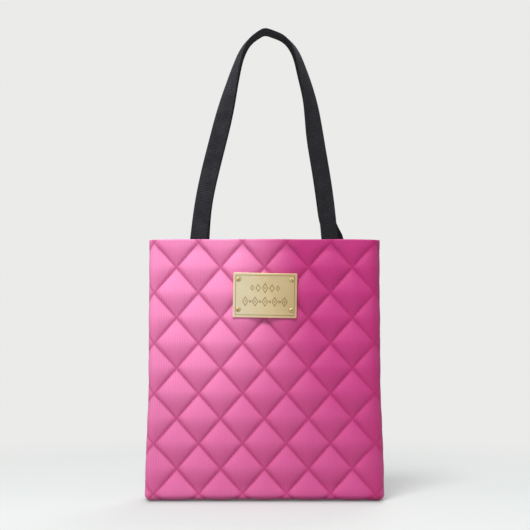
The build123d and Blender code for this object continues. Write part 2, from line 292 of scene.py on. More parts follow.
def cell_value(a, b, seed):
    """A fixed number from 0 to 1 for each puff."""
    v = np.sin(np.floor(a) * 12.9898 + np.floor(b) * 78.233 + seed * 37.719) * 43758.5453
    return v - np.floor(v)


def plate_cover(x, z, margin, blend):
    """1 under the name plate and 0 beyond a margin round it."""
    angle = math.radians(PLATE_TILT)
    dx, dz = x - PLATE_CENTRE[0], z - PLATE_CENTRE[1]
    across = dx * math.cos(angle) - dz * math.sin(angle)
    up = dx * math.sin(angle) + dz * math.cos(angle)
    out_x = np.maximum(np.abs(across) - PLATE_SIZE[0] / 2 - margin, 0)
    out_z = np.maximum(np.abs(up) - PLATE_SIZE[1] / 2 - margin, 0)
    return 1 - smooth(np.hypot(out_x, out_z) / blend)


def split_quads(quads, a, b):
    """Two triangles from each quad, cut along whichever quilting direction passes nearest."""
    off_a, off_b = (np.abs(v - np.round(v)) for v in (a.ravel()[quads].mean(1), b.ravel()[quads].mean(1)))
    falling = (off_b < off_a)[:, None]
    lower = np.where(falling, quads[:, (0, 1, 2)], quads[:, (0, 1, 3)])
    upper = np.where(falling, quads[:, (0, 2, 3)], quads[:, (1, 2, 3)])
    return np.concatenate([lower, upper])


def simulated_puffs(side):
    """Puff heights on a grid, from slack cloth held along its stitches and pushed out by its filling."""
    across = np.linspace(-PITCHES, PITCHES, 4 * PITCHES * SIM_CELL + 1)
    q, p = np.meshgrid(across, np.arange(SIM_ROWS * SIM_CELL + 1) / SIM_CELL)
    a, b = lattice(q, p)
    sewn = (np.abs(a - np.round(a)) < 1e-6) | (np.abs(b - np.round(b)) < 1e-6)
    sewn[(0, -1), :] = True
    sewn[:, (0, -1)] = True
    # The fabric is cut a little unevenly, so that no two puffs crease alike.
    uneven = 0.35 * ~sewn
    x = q * PITCH + uneven * np.sin(7.3 * q + 2.1 * p + side)
    z = -p * ROW_HEIGHT + uneven * np.sin(5.1 * p - 3.7 * q + 2 * side)
    sheet = mesh_object("puff_simulation", xyz(x, 0, z), [split_quads(grid_faces(*q.shape), a, b)], None)
    sheet.vertex_groups.new(name="sewn").add(np.flatnonzero(sewn).tolist(), 1.0, "REPLACE")
    cloth = sheet.modifiers.new("cloth", "CLOTH")
    cloth.point_cache.frame_end = SIM_FRAMES
    cloth.collision_settings.use_collision = False
    fabric = cloth.settings
    fabric.quality = 5
    fabric.mass = 0.2
    fabric.tension_stiffness = fabric.compression_stiffness = 15.0
    fabric.shear_stiffness = 8.0
    fabric.bending_stiffness = 4.0
    fabric.shrink_min = -SIM_SLACK
    fabric.vertex_group_mass = "sewn"
    scene = bpy.context.scene
    usual = tuple(scene.gravity)
    scene.gravity = (0.0, -SIM_PUSH, 0.0)
    for frame_number in range(1, SIM_FRAMES + 1):
        scene.frame_set(frame_number)
    shaped = sheet.evaluated_get(bpy.context.evaluated_depsgraph_get())
    places = np.empty(len(sheet.data.vertices) * 3, np.float32)
    shaped.data.vertices.foreach_get("co", places)
    scene.gravity = usual
    scene.frame_set(1)
    mesh = sheet.data
    bpy.data.objects.remove(sheet)
    bpy.data.meshes.remove(mesh)
    height = -places.reshape(*q.shape, 3)[..., 1].astype(float)
    return np.clip(height / np.percentile(height, 96), 0.0, 1.15)


PUFFS = {side: simulated_puffs(side) for _, side in SIDES}


def smooth_steps(t):
    """Weights of the four grid values round a place, for a curve through them all."""
    return (
        0.5 * (-t + 2 * t**2 - t**3),
        0.5 * (2 - 5 * t**2 + 3 * t**3),
        0.5 * (t + 4 * t**2 - 3 * t**3),
        0.5 * (t**3 - t**2),
    )


def padded_height(q, p, a, b, side):
    """The height of the quilted face: 0 on its stitches and about 1 in the middle of a puff."""
    even = puff_height(a, b)
    if side not in PUFFS:
        return even
    table = PUFFS[side]
    column, row = (q + PITCHES) * 2 * SIM_CELL, p * SIM_CELL
    first_column, first_row = np.floor(column).astype(int), np.floor(row).astype(int)
    total = 0.0
    for i, by_row in enumerate(smooth_steps(row - first_row)):
        rows = np.clip(first_row + i - 1, 0, table.shape[0] - 1)
        for j, by_column in enumerate(smooth_steps(column - first_column)):
            columns = np.clip(first_column + j - 1, 0, table.shape[1] - 1)
            total = total + by_row * by_column * table[rows, columns]
    return mix(even, total, SIM_SHARE)


def surface_depth(q, p, x, z, side, foot):
    """How far the quilted face lies inside the CAD model's outer face; foot is 1 underneath the bag."""
    a, b = lattice(q, p)
    height = padded_height(q, p, a, b, side) * (0.92 + 0.1 * cell_value(a, b, side))
    # Puffs are flatter at the side seams, near the mouth, near the foot and underneath.
    size = PUFF_DEPTH * mix(1.0, 0.16, smooth((np.abs(q) - 2.1) / 0.55))
    size = size * mix(1.0, 0.42, smooth((z - (BAG_HEIGHT - 22)) / 20))
    size = size * mix(1.0, 0.55, smooth((26 - z) / 24)) * mix(1.0, 0.55, foot)
    fall_a, fall_b = (np.exp(-np.abs(v - np.round(v)) * LINE_SPACING / PUCKER_REACH) for v in (a, b))
    pucker = np.sin(b * LINE_SPACING * 1.05 + 1.5 * np.sin(a * 5.1 + side)) * fall_a * (1 - fall_b)
    pucker += np.sin(a * LINE_SPACING * 1.15 + 1.5 * np.sin(b * 4.7 + side)) * fall_b * (1 - fall_a)
    depth = size * (1 - height) + PUCKER_DEPTH * pucker * (1 - foot)
    belly = -BELLY * np.exp(-((q / 1.8) ** 2)) * np.exp(-(((z - BELLY_HEIGHT) / BELLY_REACH) ** 2))
    waves = 0.8 * np.sin(q * 1.3 + 0.7 * side) * np.sin(z / 57 + 1.3)
    waves = waves + 0.5 * np.sin(q * 2.6 + 2.0 + z / 71 + side)
    calm = (1 - smooth((z - (BAG_HEIGHT - 60)) / 55)) * (1 - foot) * smooth(z / 60)
    if side < 0:
        calm = calm * (1 - plate_cover(x, z, 6, 70))
        under = plate_cover(x, z, 0.5, 5)
        depth = mix(depth, np.maximum(depth, 0.5) * 0.8 + 0.3, under)
    return np.minimum(depth + (belly + waves - 0.3) * calm, DEEPEST)


def seam_groove(q, z):
    """Extra depth beside a side seam."""
    distance = (PITCHES - np.abs(q)) / PITCHES * quarter_length(z)
    return SEAM_GROOVE * np.exp(-((distance / SEAM_GROOVE_REACH) ** 2))


def top_height(q):
    """Height of the mouth's edge, which drops a little at the side seams."""
    return BAG_HEIGHT - MOUTH_DROP * (np.abs(q) / PITCHES) ** 5 - MOUTH_WAVE * (1 - np.cos(q * 2.9))


def bottom_lift(x, y, z):
    """The foot's long edges rise a little between the corners."""
    across = np.clip(1 - (x / (BASE_WIDTH / 2 - 14)) ** 2, 0, 1)
    return FOOT_LIFT * across * smooth((34 - z) / 34) * smooth(np.abs(y) / 20)


def turned(points, side):
    """Front-half points, turned round to the back half for the back."""
    return points if side < 0 else points * np.array([-1.0, -1.0, 1.0])


def wall_point(q, z, side, lift=0.0):
    """A place on the quilted wall, lifted off it, with the way that the wall faces there."""
    x, y, nx, ny = outline(q, z, 0.0)
    depth = surface_depth(q, (FIRST_ROW - z) / ROW_HEIGHT, x, z, side, 0.0) + seam_groove(q, z) - lift
    return xyz(x - nx * depth, y - ny * depth, z + bottom_lift(x, y, z)), xyz(nx, ny, 0)


def panel_outside(side):
    """Rows of points over the mouth's edge, down the wall, round the foot's edge and in to the bottom seam,
    with each point's height if the panel were laid out flat."""
    q = np.linspace(-PITCHES, PITCHES, 4 * PITCHES * CELL + 1)
    step = ROW_HEIGHT / CELL
    first = FIRST_ROW + 2 * step
    rows, heights = [], []
    start, _ = wall_point(q, first, side)
    x, y, nx, ny = outline(q, first, 0.0)
    inset = np.hypot(start[:, 0] - x, start[:, 1] - y)
    for i in range(ROLL_STEPS, 0, -1):
        angle = math.pi * i / ROLL_STEPS
        deep = mix(inset, WADDING_INSIDE * HEM_PRESS, (1 - math.cos(angle)) / 2)
        rows.append(xyz(x - nx * deep, y - ny * deep, first + (top_height(q) - first) * math.sin(angle)))
        heights.append(first + 1.5 * angle)
    for z in np.arange(first, BASE_EDGE_RADIUS + 0.6, -step):
        rows.append(wall_point(q, z, side)[0])
        heights.append(z)
    base_p = (FIRST_ROW - BASE_EDGE_RADIUS) / ROW_HEIGHT
    for i in range(EDGE_STEPS + 1):
        angle = math.pi / 2 * i / EDGE_STEPS
        flat, down = math.cos(angle), math.sin(angle)
        z = BASE_EDGE_RADIUS * (1 - down)
        travel = BASE_EDGE_RADIUS * angle
        x, y, nx, ny = outline(q, z, BASE_EDGE_RADIUS * (1 - flat))
        foot = smooth(i / EDGE_STEPS)
        depth = surface_depth(q, base_p + travel / ROW_HEIGHT, x, z, side, foot)
        depth = depth + seam_groove(q, z) * (1 - 0.4 * foot)
        x_in, y_in, z_in = x - nx * depth * flat, y - ny * depth * flat, z + depth * down
        rows.append(xyz(x_in, y_in, z_in + bottom_lift(x, y, z)))
        heights.append(BASE_EDGE_RADIUS - travel)
    edge_x, edge_y = x, y
    seam_x = q / PITCHES * np.abs(edge_x[0])
    for i in range(1, UNDER_STEPS + 1):
        t = i / UNDER_STEPS
        x, y = mix(edge_x, seam_x, t), mix(edge_y, HALF_EDGE, t)
        travel = BASE_EDGE_RADIUS * math.pi / 2 + np.abs(edge_y) * t
        under_q = mix(q, x / quarter_length(0.0) * PITCHES, smooth(t * 3))
        depth = surface_depth(under_q, base_p + travel / ROW_HEIGHT, x, 0.0, side, 1.0)
        depth = depth + 1.6 * np.exp(-((y / 3.0) ** 2)) + seam_groove(q, 0.0) * 0.6 * (1 - t)
        rows.append(xyz(x, y, depth + bottom_lift(x, y, 0.0)))
        heights.append(BASE_EDGE_RADIUS - travel)
    return q, np.array(rows), np.array([np.broadcast_to(height, q.shape) for height in heights])


def panel_inside():
    """Rows of points down the panel's plain inner face and in to the bottom seam, on a coarser grid."""
    q = np.linspace(-PITCHES, PITCHES, 61)
    steps = [(WADDING_INSIDE * press(z), z) for z in np.linspace(BAG_HEIGHT - 4, 20, 46)]
    turn, radius = np.linspace(0, math.pi / 2, 5)[1:], 4
    steps += zip(WADDING_INSIDE + radius * (1 - np.cos(turn)), WADDING_INSIDE + radius * (1 - np.sin(turn)))
    rows = [xyz(*outline(q, z, inset)[:2], z) for inset, z in steps]
    edge = rows[-1]
    seam = xyz(q / PITCHES * abs(edge[0, 0]), HALF_EDGE, edge[:, 2])
    return np.array(rows + [mix(edge, seam, t) for t in (0.25, 0.5, 0.75, 1.0)])


def quilted_panel(name, side, material):
    """A closed padded panel: a quilted outer face with a plain inner face, joined round their edges."""
    q, outside, heights = panel_outside(side)
    inside = panel_inside()
    inside[:, (0, -1), 1] = HALF_EDGE
    outside[:, (0, -1), 1] = np.minimum(outside[:, (0, -1), 1], HALF_EDGE)
    a, b = lattice(q, (FIRST_ROW - heights) / ROW_HEIGHT)
    outer_ids = np.arange(outside.size // 3).reshape(outside.shape[:2])
    inner_ids = np.arange(inside.size // 3).reshape(inside.shape[:2]) + outer_ids.size
    outer_faces = split_quads(grid_faces(*outer_ids.shape), a, b)
    inner_faces = grid_faces(*inner_ids.shape, start=outer_ids.size)[:, ::-1]
    joins = zip_faces(outer_ids[0], inner_ids[0]) + zip_faces(outer_ids[:, -1], inner_ids[:, -1])
    for outer, inner in ((outer_ids[-1], inner_ids[-1]), (outer_ids[:, 0], inner_ids[:, 0])):
        joins += [face[::-1] for face in zip_faces(outer, inner)]

    outside, inside = outside.reshape(-1, 3), inside.reshape(-1, 3)
    lengths = quarter_length(np.clip(heights, 0, BAG_HEIGHT))
    weave = xyz(q / PITCHES * lengths, heights, 0).reshape(-1, 3)
    attributes = {
        "weave": np.concatenate([weave, inside[:, (0, 2, 1)]]) * MM,
        # Painted shade along the seams and low on each puff, and a painted highlight high on each puff.
        "painted_shading": np.concatenate([painted_puff_shading(a, b).ravel(), np.zeros(len(inside))]),
    }
    faces = [np.concatenate([outer_faces, joins]), inner_faces]
    return mesh_object(name, turned(np.concatenate([outside, inside]), side), faces, material, attributes)


# ---- Thread ----


def stitch_object(name, places, directions, normals, length, radius, material):
    """Sewn stitches as short capsules, each lying on its place with its ends sunk in the cloth."""
    directions = unit(np.broadcast_to(directions, places.shape))
    normals = unit(normals - directions * (normals * directions).sum(1, keepdims=True))
    angles = np.arange(STITCH_RING)[:, None] / STITCH_RING * 2 * math.pi
    ring = np.cross(directions, normals)[:, None] * np.cos(angles) + normals[:, None] * np.sin(angles)
    verts = []
    for along, size, rise in STITCH_SHAPE:
        middle = (places + directions * (along * length / 2) + normals * (rise * radius))[:, None]
        verts.append(middle + ring * (size * radius) if size else middle)
    verts = np.concatenate(verts, 1)
    count = verts.shape[1]
    quads = grid_faces(len(STITCH_SHAPE) - 2, STITCH_RING, wrap=True, start=1)[:, (0, 3, 2, 1)]
    near = 1 + np.arange(STITCH_RING)
    far = near + count - 2 - STITCH_RING
    tips = np.concatenate([xyz(0, np.roll(near, -1), near), xyz(count - 1, far, np.roll(far, -1))])
    offsets = np.arange(len(places))[:, None, None] * count
    faces = [(shape + offsets).reshape(-1, shape.shape[1]) for shape in (quads, tips)]
    return mesh_object(name, verts, faces, material)


def half_stitches(name, side, rows, kind, material):
    """Stitches on one half of the bag, from rows of (places, directions, normals) on the front half."""
    parts = (turned(np.concatenate(part), side) for part in zip(*rows))
    return stitch_object(name, *parts, *kind, material)


def quilting_thread(name, side, material):
    """The stitches along every quilting line of a panel's wall."""
    ahead = 0.8
    z = np.arange(BAG_HEIGHT - 5, 7.0, -0.25)
    rows = []
    for slope in (1, -1):
        for whole in range(-9, 10):
            # A line's height falls by two rows for every diamond across.
            q = whole + 0.5 - slope * (FIRST_ROW - z) / ROW_HEIGHT / 2
            keep = np.abs(q) < PITCHES - 0.035
            if keep.sum() < 8:
                continue
            points, facing = wall_point(q[keep], z[keep], side, lift=0.05)
            run = run_of(points)
            at = np.arange(QUILTING_PITCH / 2, run[-1] - QUILTING_PITCH / 2, QUILTING_PITCH)
            place, after, before = (at_distance(at + shift, run, points) for shift in (0, ahead, -ahead))
            rows.append((place, after - before, at_distance(at, run, facing)))
    return half_stitches(name, side, rows, QUILTING_STITCH, material)


# ---- Inside of the bag ----


def inner_surface(q, z, inset, thickness):
    """The outer and inner face of a sheet that lies against the wall."""
    x, y, nx, ny = outline(q, z, inset)
    return xyz(x, y, z), xyz(x - nx * thickness, y - ny * thickness, z)


def half_sheet(name, side, q, rows, reach, material):
    """A closed thin sheet over one half of the bag, from rows that go down of outer points, inner points and
    height laid flat; reach is half its width laid flat."""
    faces = np.array([[row[k] for row in rows] for k in (0, 1)])
    faces[:, :, (0, -1), 1] = HALF_EDGE
    count = len(rows) * len(q)
    ids = np.arange(count).reshape(len(rows), len(q))
    loop = np.concatenate([ids[0, :-1], ids[:-1, -1], ids[-1, :0:-1], ids[:0:-1, 0]])
    after = np.roll(loop, -1)
    rim = np.stack([loop, after, after + count, loop + count], 1)
    front = grid_faces(*ids.shape)
    weave = np.array([xyz(q / PITCHES * reach, height, 0) for _, _, height in rows * 2]) * MM
    quads = np.concatenate([front, front[:, ::-1] + count, rim])
    return mesh_object(name, turned(faces, side), [quads], material, {"weave": weave.reshape(-1, 3)})


def lining_sheet(name, side, material):
    """The lining of one half, from under the facing down to the bottom seam, with loose folds."""
    q = np.linspace(-PITCHES, PITCHES, 145)
    low = LINING_INSIDE + LINING_TURN
    inset = LINING_INSIDE - LINING_THICKNESS
    rows = []
    for z in np.linspace(BAG_HEIGHT - FACING_DEPTH + 4, low, 110):
        loose = smooth((BAG_HEIGHT - FACING_DEPTH - z) / 60) * smooth((z - 14) / 30)
        loose = loose * smooth((PITCHES - np.abs(q)) / 0.4)
        fold = np.sin(q * 3.1 + 1.8 * np.sin(z / 75 + side) + side)
        fold = fold + 0.6 * np.sin(q * 7.3 + z / 33 + 2 * side) + 0.5 * np.sin(z / 13 + 2.2 * np.sin(q * 1.7))
        ripple = np.maximum(loose * (1.1 + 0.75 * fold), 0)
        rows.append((*inner_surface(q, z, inset - 0.1 + ripple, LINING_THICKNESS), z))
    for i in range(1, 7):
        angle = math.pi / 2 * i / 6
        flat, down = math.cos(angle), math.sin(angle)
        z = inset + LINING_TURN * (1 - down)
        outer, inner = inner_surface(q, z, inset + LINING_TURN * (1 - flat), LINING_THICKNESS * flat)
        inner[:, 2] += LINING_THICKNESS * down
        rows.append((outer, inner, low - LINING_TURN * angle))
    target = xyz(q / PITCHES * abs(outer[0, 0]), HALF_EDGE, z)
    for i in range(1, 8):
        t = i / 7
        dip = 0.25 * np.sin(q * 5.1 + 4 * t) * math.sin(math.pi * t)
        floor = mix(outer, target, t) + xyz(0, 0, np.maximum(dip, 0))
        rows.append((floor, floor + (0, 0, LINING_THICKNESS), 2 - 20 * t))
    return half_sheet(name, side, q, rows, 190, material)


def facing_sheet(name, side, material):
    """The outer fabric turned in over the mouth, with its lower edge folded under."""
    q = np.linspace(-PITCHES, PITCHES, 193)
    low, high = BAG_HEIGHT - FACING_DEPTH, BAG_HEIGHT - 1.2
    rows = []
    for z in np.linspace(high, low, 34):
        folded = smooth((low + 4.5 - z) / 2.2)
        # The folded edge swells, and both rows of stitches pull a groove.
        swell = ((0.28, low + 2.2, 1.4), (-0.22, low + 4.6, 0.9), (-0.2, high - 3.4, 0.9))
        bulge = sum(rise * math.exp(-(((z - middle) / spread) ** 2)) for rise, middle, spread in swell)
        wave = 0.14 * np.sin(q * 9 + 1.3 * math.sin(z / 9 + side)) * smooth((high - z) / 8)
        line = z - (BAG_HEIGHT - top_height(q)) * smooth((z - low) / (high - low))
        thickness = 0.75 + 0.25 * folded + bulge + 0.5 * wave
        rows.append((*inner_surface(q, line, WADDING_INSIDE * press(z) + 0.05, thickness), z))
    return half_sheet(name, side, q, rows, 195, material)


def facing_stitches(name, side, material):
    """Two rows of stitches on the facing: along the mouth's edge and along the folded edge."""
    q = np.linspace(-PITCHES + 0.03, PITCHES - 0.03, FACING_COUNT)
    rows = []
    for z, inside in ((BAG_HEIGHT - 4.6, 0.62), (BAG_HEIGHT - FACING_DEPTH + 4.6, 0.72)):
        drop = (BAG_HEIGHT - top_height(q)) * smooth((z - BAG_HEIGHT + FACING_DEPTH) / FACING_DEPTH)
        x, y, nx, ny = outline(q, z, WADDING_INSIDE * press(z) + inside)
        rows.append((xyz(x, y, z - drop), xyz(-ny, nx, 0), xyz(-nx, -ny, 0)))
    return half_stitches(name, side, rows, FACING_STITCH, material)


def section(width, thickness, steps):
    """A flat strip's rounded section as (across, out) points, anticlockwise."""
    radius = thickness / 2
    flat = width / 2 - radius
    face = np.linspace(flat, -flat, steps + 1)
    points = []
    for sign in (1, -1):
        turn = sign * math.pi / 2 + math.pi * np.arange(1, 6) / 6
        points.append(np.stack([sign * face, np.full_like(face, sign * radius)], -1))
        points.append(np.stack([radius * np.cos(turn) - sign * flat, radius * np.sin(turn)], -1))
    return np.concatenate(points)


def sweep(name, places, across, out, profile, material, relief):
    """A closed strip: a section moved along places, with flat ends and the strip's own coordinates stored."""
    across, out = (np.broadcast_to(v, places.shape)[:, None] for v in (across, out))
    wide, thick = profile.T
    run = run_of(places)[:, None]
    rise = (thick + relief(run, wide, thick))[..., None]
    verts = (places[:, None] + across * wide[:, None] + out * rise).reshape(-1, 3)
    weave = xyz(wide, run, np.sign(thick)).reshape(-1, 3) * MM
    count, ring = len(verts), np.arange(len(profile))
    end = ring + count - len(profile)
    caps = [xyz(count, ring, np.roll(ring, -1)), xyz(count + 1, np.roll(end, -1), end)]
    faces = [grid_faces(len(places), len(profile), wrap=True), np.concatenate(caps)]
    verts = np.concatenate([verts, places[:1], places[-1:]])
    return mesh_object(name, verts, faces, material, {"weave": np.concatenate([weave, np.zeros((2, 3))])})


def binding_strip(name, places, across, out, material):
    """A folded binding with a soft swell between its edges and its stitching."""

    def relief(run, x, y):
        dip = -0.35 * np.exp(-(((np.abs(x) - BINDING_WIDTH / 2 + 2.2) / 0.8) ** 2))
        return np.sign(y) * (dip + 0.12 * np.sin(run * 0.55 + 1.7 * np.sin(run * 0.13)) - 0.12)

    return sweep(name, places, across, out, section(BINDING_WIDTH, BINDING_THICKNESS, 16), material, relief)


# ---- Handles ----


def cubic_through(points, samples):
    """A natural cubic spline through points, spaced by chord length, sampled evenly along its length."""
    points = np.array(points, float)
    t = run_of(points)
    n = len(points)
    h = np.diff(t)
    system, right = np.zeros((n, n)), np.zeros((n, 3))
    system[0, 0] = system[-1, -1] = 1.0
    for i in range(1, n - 1):
        system[i, i - 1 : i + 2] = h[i - 1], 2 * (h[i - 1] + h[i]), h[i]
        right[i] = 6 * ((points[i + 1] - points[i]) / h[i] - (points[i] - points[i - 1]) / h[i - 1])
    bend = np.linalg.solve(system, right)
    fine = np.linspace(0, t[-1], 8000)
    k = np.clip(np.searchsorted(t, fine, side="right") - 1, 0, n - 2)
    past, ahead, span = (fine - t[k])[:, None], (t[k + 1] - fine)[:, None], h[k][:, None]
    line = (
        (bend[k] * ahead**3 + bend[k + 1] * past**3) / (6 * span)
        + (points[k] / span - bend[k] * span / 6) * ahead
        + (points[k + 1] / span - bend[k + 1] * span / 6) * past
    )
    run = run_of(line)
    return at_distance(np.linspace(0, run[-1], samples), run, line), run[-1]


def foot_x(side, end):
    return (BACK_FEET if side > 0 else FRONT_FEET)[(end + 1) // 2]


def webbing_depth(z):
    """Distance of the sewn webbing's middle from the bag's middle plane."""
    return MOUTH_DEPTH / 2 - LINING_INSIDE * press(z) - WEBBING_THICKNESS / 2


def handle_frames(side):
    """Places along a whole handle, sewn ends included, with its width direction and its face's direction."""
    rise = CREST_HEIGHT - BAG_HEIGHT
    start = HINGE_HEIGHT + FOLD_GAP
    points = [(foot_x(side, -1), side * WEBBING_OFFSET, start)]
    for x, z in [*HANDLE_LINE, BACK_BEND] if side > 0 else HANDLE_LINE:
        depth = mix(WEBBING_OFFSET, CREST_OFFSET, float(smooth((z - BAG_HEIGHT) / rise)))
        drop = BACK_CREST_DROP * (z - BAG_HEIGHT) / rise if side > 0 else 0.0
        points.append((x, side * depth, z - drop))
    points.append((foot_x(side, 1), side * WEBBING_OFFSET, start))
    free, length = cubic_through(points, 560)
    tangent = np.gradient(free, axis=0)
    tangent[0], tangent[-1] = (0, 0, 1), (0, 0, -1)
    tangent = unit(tangent)
    along = np.linspace(0, length, len(free))
    past = along - along[np.argmax(free[:, 2])]
    left, right = (np.interp(np.abs(past), *zip(*twist)) for twist in (LEFT_TWIST, RIGHT_TWIST))
    angle = np.where(past > 0, right, left) * (BACK_TWIST if side > 0 else 1.0)
    soften = np.hanning(27)
    angle = np.convolve(np.pad(angle, 13, mode="edge"), soften / soften.sum(), mode="valid")
    angle = np.radians(angle)[:, None]
    outward = unit(np.cross((0, -1, 0), tangent))
    panelward = np.cross(outward, tangent) * side
    normal = panelward * np.cos(angle) + outward * np.sin(angle)
    across = np.cross(normal, tangent)
    sewn_z = np.linspace(BAG_HEIGHT - SEWN_LENGTH, start, 26)[:-1]
    sewn = xyz(0, side * webbing_depth(sewn_z), sewn_z)
    places = np.concatenate([sewn + (foot_x(side, -1), 0, 0), free, sewn[::-1] + (foot_x(side, 1), 0, 0)])
    return places, *(np.pad(v, ((len(sewn),) * 2, (0, 0)), mode="edge") for v in (across, normal))


def webbing_handle(name, side, material):
    """One length of webbing with its ribs and selvedges in the mesh."""

    def relief(run, x, y):
        ribs = 0.07 * np.cos(x * 2 * math.pi / WEBBING_RIB)
        picks = 0.04 * np.cos(run * 2 * math.pi / WEBBING_PICK + math.pi * np.round(x / WEBBING_RIB))
        selvedge = -0.25 * np.exp(-(((np.abs(x) - WEBBING_WIDTH / 2 + 2.3) / 0.5) ** 2))
        flat = np.abs(y) > WEBBING_THICKNESS * 0.45
        return np.sign(y) * (ribs + picks + selvedge - 0.1) * flat

    profile = section(WEBBING_WIDTH, WEBBING_THICKNESS, 44)
    return sweep(name, *handle_frames(side), profile, material, relief)


def tack_thread(name, side, material):
    """The box and cross of stitches on each sewn end."""
    corners = np.array([(-1, -1), (1, -1), (1, 1), (-1, 1)]) * (TACK_WIDTH / 2, TACK_HEIGHT / 2)
    places, directions = [], []
    for end in (-1, 1):
        for first, last in ((0, 1), (1, 2), (2, 3), (3, 0), (0, 2), (1, 3)):
            start, stop = corners[first], corners[last]
            length = np.hypot(*(stop - start))
            ahead_x, ahead_z = (stop - start) / length
            count = int(length / TACK_PITCH)
            for i in range(count):
                across, up = mix(start, stop, (i + 0.5) / count)
                z = BAG_HEIGHT - SEWN_LENGTH / 2 + up
                y = webbing_depth(z) - WEBBING_THICKNESS / 2 - 0.05
                slope = (webbing_depth(z + 0.5) - webbing_depth(z - 0.5)) * ahead_z
                places.append((foot_x(side, end) + across, side * y, z))
                directions.append((ahead_x, side * slope, ahead_z))
    return stitch_object(name, np.array(places), directions, (0, -side, 0), *TACK_STITCH, material)


# ---- Materials ----


class Value:
    """A socket whose sums with other values become nodes."""

    def __init__(self, shader, socket):
        self.shader, self.socket = shader, socket

    def __add__(self, other):
        return self.shader.math("ADD", self, other)

    def __sub__(self, other):
        return self.shader.math("SUBTRACT", self, other)

    def __mul__(self, other):
        return self.shader.math("MULTIPLY", self, other)

    def __abs__(self):
        return self.shader.math("ABSOLUTE", self)


class Shader:
    """Builds one node material."""

    def __init__(self, name):
        self.material = bpy.data.materials.new(name)
        self.material.use_nodes = True
        self.tree = self.material.node_tree
        self.tree.nodes.clear()
        self.surface = self.tree.nodes.new("ShaderNodeBsdfPrincipled")
        self.end = self.tree.nodes.new("ShaderNodeOutputMaterial")
        self.tree.links.new(self.surface.outputs[0], self.end.inputs["Surface"])
        self.place = self.node("ShaderNodeTexCoord", "Object")

    def put(self, socket, value):
        if isinstance(value, Value):
            self.tree.links.new(value.socket, socket)
        else:
            socket.default_value = value

    def node(self, kind, output=0, inputs=(), **settings):
        """A new node's output; inputs go by order or by name."""
        node = self.tree.nodes.new(kind)
        for key, value in settings.items():
            setattr(node, key, value)
        for key, value in inputs.items() if isinstance(inputs, dict) else enumerate(inputs):
            self.put(node.inputs[key], value)
        return Value(self, node.outputs[output])

    def math(self, operation, *values):
        return self.node("ShaderNodeMath", 0, values, operation=operation)

    def length(self, a, b):
        return self.math("SQRT", a * a + b * b)

    def between(self, value, low, high, to_low=0.0, to_high=1.0):
        inputs = value, low, high, to_low, to_high
        return self.node("ShaderNodeMapRange", 0, inputs, interpolation_type="SMOOTHSTEP")

    def blend(self, factor, a, b):
        return self.node("ShaderNodeMix", 2, {0: factor, 6: a, 7: b}, data_type="RGBA")

    def noise(self, vector, scale, detail=2.0, roughness=0.5):
        inputs = {"Vector": vector, "Scale": scale, "Detail": detail, "Roughness": roughness}
        return self.node("ShaderNodeTexNoise", "Fac", inputs)

    def parts(self, vector):
        sockets = self.node("ShaderNodeSeparateXYZ", 0, (vector,)).socket.node.outputs
        return [Value(self, socket) for socket in sockets]

    def join(self, x, y, z):
        return self.node("ShaderNodeCombineXYZ", 0, (x, y, z))

    def attribute(self, name, output="Vector"):
        return self.node("ShaderNodeAttribute", output, attribute_name=name)

    def facing_front(self):
        """1 where the surface is square to the front."""
        return self.parts(self.node("ShaderNodeNewGeometry", "Normal"))[1] * -1.0

    def ramp(self, factor, *stops):
        colours = self.node("ShaderNodeValToRGB", 0, (factor,))
        elements = colours.socket.node.color_ramp.elements
        while len(elements) < len(stops):
            elements.new(0.5)
        for element, (position, colour) in zip(elements, stops):
            element.position = position
            element.color = colour
        return colours

    def wave(self, value, period, phase=0.0):
        """A sine from -1 to 1 with a period in millimetres of a coordinate in metres."""
        return self.math("SINE", self.math("MULTIPLY_ADD", value, 2 * math.pi / (period * MM), phase))

    def bump(self, height, distance, strength=1.0):
        inputs = {"Height": height, "Distance": distance * MM, "Strength": strength}
        return self.node("ShaderNodeBump", 0, inputs)

    def set(self, **values):
        for key, value in values.items():
            self.put(self.surface.inputs[key.replace("_", " ")], value)


PINK_LIGHT = srgb(246, 144, 195)
PINK_DEEP = srgb(187, 51, 123)
# A deeper pink: the weave's and thread's darker colour, and the colour of painted shade along the seams and
# the right edge.
DEEP_PINK_AND_PAINTED_SHADE = srgb(156, 15, 88)
# Colours of the painted highlight at the top of each puff and the painted shade at its bottom.
PAINTED_PUFF_HIGHLIGHT, PAINTED_PUFF_SHADE = srgb(218, 126, 178), srgb(192, 22, 108)
THREAD_TWIST = 1600.0
SATIN_RIB, SATIN_WEAVE = 3.57, 0.62


def print_and_painted_light(s):
    """The printed colour, partly painted light: light at the left, deep at the right, with a sharper change
    near the mouth, and painted shade along the right edge.
    """
    x, _, z = s.parts(s.place)
    # The ombré is print and partly painted light: lightest at the upper left, deepest at the right.
    up = s.between(z, 0.02, 0.36)
    reach = up * -0.115 + 0.175
    left, right = up * 0.5 + 0.5, up * -0.13 + 0.13
    across = s.between(x, reach * -1.0, reach)
    share = across * (right - left) + left + (s.noise(s.place, 9.0) - 0.5) * 0.12
    printed = s.ramp(share, (0.0, PINK_DEEP), (1.0, PINK_LIGHT))
    # Painted shade darkens the right edge.
    return s.blend(s.between(x, 0.138, 0.178, 0.0, 0.46), printed, DEEP_PINK_AND_PAINTED_SHADE)


